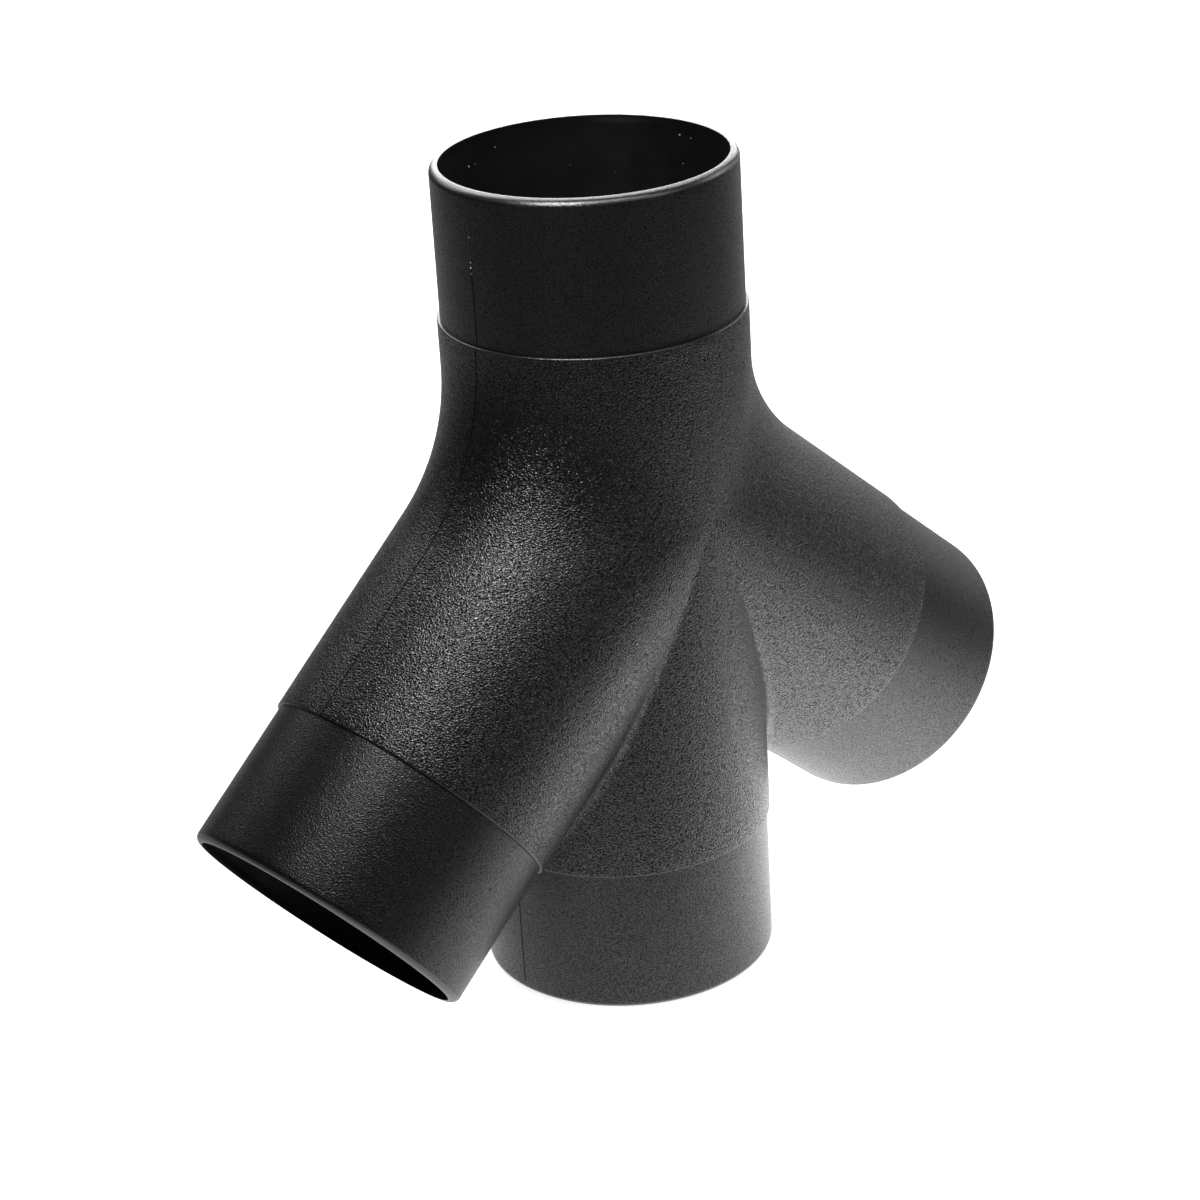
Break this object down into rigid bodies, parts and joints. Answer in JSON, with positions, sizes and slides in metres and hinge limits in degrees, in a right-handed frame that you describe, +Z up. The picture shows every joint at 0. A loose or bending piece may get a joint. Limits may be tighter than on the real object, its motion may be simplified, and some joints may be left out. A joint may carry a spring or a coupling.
{
  "type": "three-way duct connector",
  "caption": "One-piece black plastic branch for round air ducts, with a top inlet splitting to a straight outlet and two side outlets in one plane.",
  "frame": {"origin": "centre of the straight outlet's open end, on the surface that the part stands on", "axes": "+Z up the straight run to the inlet, X along the plane of the side branches, Y through that plane"},
  "size_m": [0.3258, 0.102, 0.286],
  "materials": {
    "black_polyethylene": "fine spark-eroded grain, semi-matte"
  },
  "bodies": {
    "root": {"duct_branch": "black_polyethylene"}
  },
  "joints": []
}
